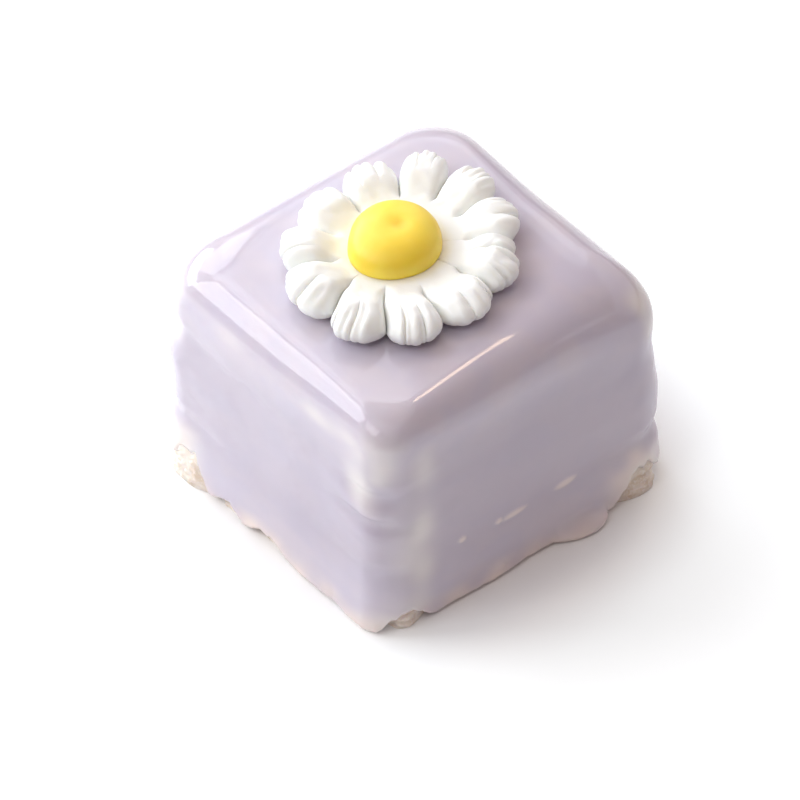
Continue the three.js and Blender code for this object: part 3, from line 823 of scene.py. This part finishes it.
class Shading:
    """A material's nodes, made and joined by short calls."""

    def __init__(self, name):
        self.material = bpy.data.materials.new(name)
        self.material.use_nodes = True
        self.tree = self.material.node_tree
        self.shader = self.tree.nodes["Principled BSDF"]

    def node(self, kind, **settings):
        made = self.tree.nodes.new(kind)
        for key, value in settings.items():
            setattr(made, key, value)
        return made

    def join(self, output, target):
        self.tree.links.new(output, target)

    def place(self):
        """The place on the object, in metres."""
        return self.node("ShaderNodeTexCoord").outputs["Object"]

    def noise(self, size, detail=2.0, roughness=0.5, stretch=(1.0, 1.0, 1.0)):
        """Noise from 0 to 1 whose blotches are about a size across, in millimetres."""
        mapping = self.node("ShaderNodeMapping")
        mapping.inputs["Scale"].default_value = stretch
        self.join(self.place(), mapping.inputs["Vector"])
        texture = self.node("ShaderNodeTexNoise")
        texture.inputs["Scale"].default_value = 1 / (size * MM)
        texture.inputs["Detail"].default_value = detail
        texture.inputs["Roughness"].default_value = roughness
        self.join(mapping.outputs["Vector"], texture.inputs["Vector"])
        return texture.outputs["Fac"]

    def stored(self, name):
        return self.node("ShaderNodeAttribute", attribute_name=name).outputs["Fac"]

    def band(self, value, low, high, to_low=0.0, to_high=1.0):
        """A value between two limits, spread over another range."""
        spread = self.node("ShaderNodeMapRange", interpolation_type="SMOOTHSTEP")
        self.join(value, spread.inputs["Value"])
        limits = {"From Min": low, "From Max": high, "To Min": to_low, "To Max": to_high}
        for socket, number in limits.items():
            spread.inputs[socket].default_value = number
        return spread.outputs["Result"]

    def height_band(self, height, limits, to_low, to_high):
        """A height between two limits in millimetres, spread over another range."""
        return self.band(height, limits[0] * MM, limits[1] * MM, to_low, to_high)

    def mix(self, share, first, second):
        """A mix of two colours, each a tuple or a node's output."""
        mixed = self.node("ShaderNodeMix", data_type="RGBA")
        self.join(share, mixed.inputs["Factor"])
        for place, colour in zip(MIX_COLOURS, (first, second)):
            if isinstance(colour, tuple):
                mixed.inputs[place].default_value = (*colour, 1.0)
            else:
                self.join(colour, mixed.inputs[place])
        return mixed.outputs[MIX_RESULT]

    def bump(self, height, depth, strength=1.0):
        """Fine relief of a depth in millimetres."""
        made = self.node("ShaderNodeBump")
        made.inputs["Strength"].default_value = strength
        made.inputs["Distance"].default_value = depth * MM
        self.join(height, made.inputs["Height"])
        self.join(made.outputs["Normal"], self.shader.inputs["Normal"])

    def finish(self, colour, roughness, **sockets):
        self.join(colour, self.shader.inputs["Base Color"])
        if isinstance(roughness, float):
            self.shader.inputs["Roughness"].default_value = roughness
        else:
            self.join(roughness, self.shader.inputs["Roughness"])
        for name, value in sockets.items():
            self.shader.inputs[name.replace("_", " ")].default_value = value
        return self.material


def icing_material():
    """Glossy poured fondant, a little translucent, with painted shade darkening it halfway up the sides,
    and paler where it is thin and in painted sheen below the top edges.
    """
    look = Shading("poured_icing")
    blotches = look.band(look.noise(size=5.5, stretch=(1.0, 1.0, 1.5)), low=0.34, high=0.66)
    lavender = look.mix(blotches, *LAVENDER)
    place = look.node("ShaderNodeSeparateXYZ")
    look.join(look.place(), place.inputs["Vector"])
    height = place.outputs["Z"]
    # Painted shade: the sides are darkened between the two height bands, most halfway up
    deep = look.node("ShaderNodeMath", operation="MULTIPLY")
    look.join(look.height_band(height, SIDE_SHADE_FROM, 0.0, 1.0), deep.inputs[0])
    look.join(look.height_band(height, SIDE_SHADE_TO, 1.0, 0.0), deep.inputs[1])
    side_shade_share = look.band(deep.outputs["Value"], low=0.0, high=1.0, to_high=SIDE_SHADE_SHARE)
    lavender = look.mix(side_shade_share, lavender, SHADED_LAVENDER)
    # Paler where the icing is thin, and painted sheen in the bands below the top edges
    pale = look.mix(look.band(look.stored("thin"), low=0.05, high=0.95), lavender, PALE_ICING)
    # Beige at the foot and in crumb patches, and beige painted glints on the side
    colour = look.mix(look.stored("beige"), pale, BEIGE_ICING)
    look.bump(look.noise(size=0.5, detail=3.0), depth=0.008, strength=0.3)
    roughness = look.height_band(height, SHINE_HEIGHTS, SIDE_ROUGHNESS, TOP_ROUGHNESS)
    return look.finish(
        colour,
        roughness=roughness,
        Subsurface_Weight=0.35,
        Subsurface_Radius=(1.0, 0.75, 0.85),
        Subsurface_Scale=1.2 * MM,
        IOR=1.49,
    )


def sponge_material():
    """Pale open crumb with browner grains."""
    look = Shading("sponge_crumb")
    patches = look.band(look.noise(size=1.6, detail=4.0), low=0.4, high=0.62)
    fine = look.band(look.noise(size=0.35), low=0.45, high=0.7)
    colour = look.mix(fine, look.mix(patches, *SPONGE_TONES), FINE_CRUMB)
    look.bump(look.noise(size=0.22, detail=3.0, roughness=0.7), depth=0.06, strength=0.6)
    return look.finish(
        colour,
        roughness=0.92,
        Subsurface_Weight=0.3,
        Subsurface_Radius=(1.0, 0.6, 0.4),
        Subsurface_Scale=0.8 * MM,
    )


def petal_material():
    """Matt white sugar paste."""
    look = Shading("sugar_paste")
    white = look.mix(look.band(look.noise(size=2.5), low=0.35, high=0.65), *SUGAR_WHITES)
    # The petals turn yellower close to the eye's foot
    yellow_near_eye = look.band(look.stored("yellow"), low=0.0, high=1.0, to_high=0.28)
    colour = look.mix(yellow_near_eye, white, YELLOW_NEAR_EYE)
    look.bump(look.noise(size=0.28, detail=4.0, roughness=0.6), depth=0.04, strength=0.55)
    return look.finish(
        colour,
        roughness=0.62,
        Subsurface_Weight=0.5,
        Subsurface_Radius=(1.0, 0.9, 0.75),
        Subsurface_Scale=1.2 * MM,
    )


def eye_material():
    """Satin yellow sugar paste, deeper orange in its dimple, partly its own colour and partly painted shade.
    """
    look = Shading("yellow_paste")
    yellow = look.mix(look.band(look.noise(size=3.0), low=0.35, high=0.65), *YELLOWS)
    # Painted shade, partly the paste's own orange: the dimple is darkened towards a deeper yellow
    deeper = look.band(look.stored("dimple"), low=0.3, high=1.0, to_high=0.35)
    colour = look.mix(deeper, yellow, DIMPLE_ORANGE_AND_SHADE)
    look.bump(look.noise(size=0.4, detail=3.0), depth=0.02, strength=0.4)
    return look.finish(
        colour,
        roughness=0.42,
        Subsurface_Weight=0.4,
        Subsurface_Radius=(1.0, 0.75, 0.2),
        Subsurface_Scale=1.4 * MM,
    )


def dress(piece, node, material):
    piece.data.materials.append(material)
    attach(piece, "root")
    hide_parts(node)


def floor_material():
    """Matt white, duller behind the cake, with a glow that grows away from it."""
    look = Shading("white_floor")
    white = look.mix(look.noise(size=40.0), *FLOOR_WHITES)
    behind = look.node("ShaderNodeVectorMath", operation="DOT_PRODUCT")
    look.join(look.place(), behind.inputs[0])
    behind.inputs[1].default_value = DULL_WAY
    dull = look.band(behind.outputs["Value"], DULL_START * MM, DULL_FULL * MM)
    apart = look.node("ShaderNodeVectorMath", operation="LENGTH")
    look.join(look.place(), apart.inputs[0])
    glow = look.band(apart.outputs["Value"], GLOW_START * MM, GLOW_FULL * MM, to_high=GLOW)
    look.shader.inputs["Emission Color"].default_value = (*GLOW_COLOUR, 1.0)
    look.join(glow, look.shader.inputs["Emission Strength"])
    return look.finish(look.mix(dull, white, DULL_FLOOR), roughness=0.7)


def make_floor():
    half = FLOOR_HALF
    corners = [(-half, -half, 0.0), (half, -half, 0.0), (half, half, 0.0), (-half, half, 0.0)]
    mesh = bpy.data.meshes.new("floor")
    mesh.from_pydata(corners, [], [(0, 1, 2, 3)])
    mesh.materials.append(floor_material())
    floor = bpy.data.objects.new("floor", mesh)
    bpy.context.scene.collection.objects.link(floor)


def direction(azimuth_deg, elevation_deg):
    """A direction from the cake: azimuth 0 is -Y and 90 is +X."""
    azimuth = math.radians(azimuth_deg)
    elevation = math.radians(elevation_deg)
    flat = math.cos(elevation)
    return Vector((math.sin(azimuth) * flat, -math.cos(azimuth) * flat, math.sin(elevation)))


def add_light(name, azimuth_deg, elevation_deg, distance, size_deg, brightness, colour):
    """A soft box that faces the cake, as wide and high as size_deg seen from it, and of a brightness."""
    towards = direction(azimuth_deg, elevation_deg)
    width, height = (2 * distance * math.tan(math.radians(angle) / 2) for angle in size_deg)
    lamp = bpy.data.lights.new(name, "AREA")
    lamp.shape = "RECTANGLE"
    lamp.size = width
    lamp.size_y = height
    lamp.energy = brightness * math.pi * width * height
    lamp.color = colour
    light = bpy.data.objects.new(name, lamp)
    bpy.context.scene.collection.objects.link(light)
    light.location = towards * distance + Vector((0.0, 0.0, AIM_HEIGHT * MM))
    light.rotation_euler = towards.to_track_quat("Z", "Y").to_euler()
    light.visible_camera = False


def make_lights():
    for light in LIGHTS:
        add_light(*light)
    world = bpy.data.worlds.new("room")
    bpy.context.scene.world = world
    world.use_nodes = True
    background = world.node_tree.nodes["Background"]
    background.inputs["Color"].default_value = (*ROOM_COLOUR, 1.0)
    background.inputs["Strength"].default_value = ROOM_BRIGHTNESS


def make_camera():
    back = direction(AZIMUTH_DEG, ELEVATION_DEG)
    azimuth = math.radians(AZIMUTH_DEG)
    right = Vector((math.cos(azimuth), math.sin(azimuth), 0.0))
    up = back.cross(right)
    aim = Vector((0.0, 0.0, AIM_HEIGHT)) + (AIM_RIGHT_PIXELS * right + AIM_UP_PIXELS * up) / PIXELS_PER_MM
    lens = bpy.data.cameras.new("camera")
    lens.sensor_width = SENSOR
    lens.lens = PIXELS_PER_MM * SENSOR * CAMERA_DISTANCE / PICTURE_SIDE
    lens.clip_end = CLIP_END
    camera = bpy.data.objects.new("camera", lens)
    bpy.context.scene.collection.objects.link(camera)
    camera.location = (aim + back * CAMERA_DISTANCE) * MM
    camera.rotation_euler = back.to_track_quat("Z", "Y").to_euler()
    bpy.context.scene.camera = camera


make_camera()
make_lights()
make_floor()
dress(make_sponge(), "sponge", sponge_material())
dress(make_icing(), "icing", icing_material())
dress(make_petals(), "daisy_petals", petal_material())
dress(make_eye(), "daisy_eye", eye_material())
bpy.context.scene.view_settings.view_transform = "Standard"
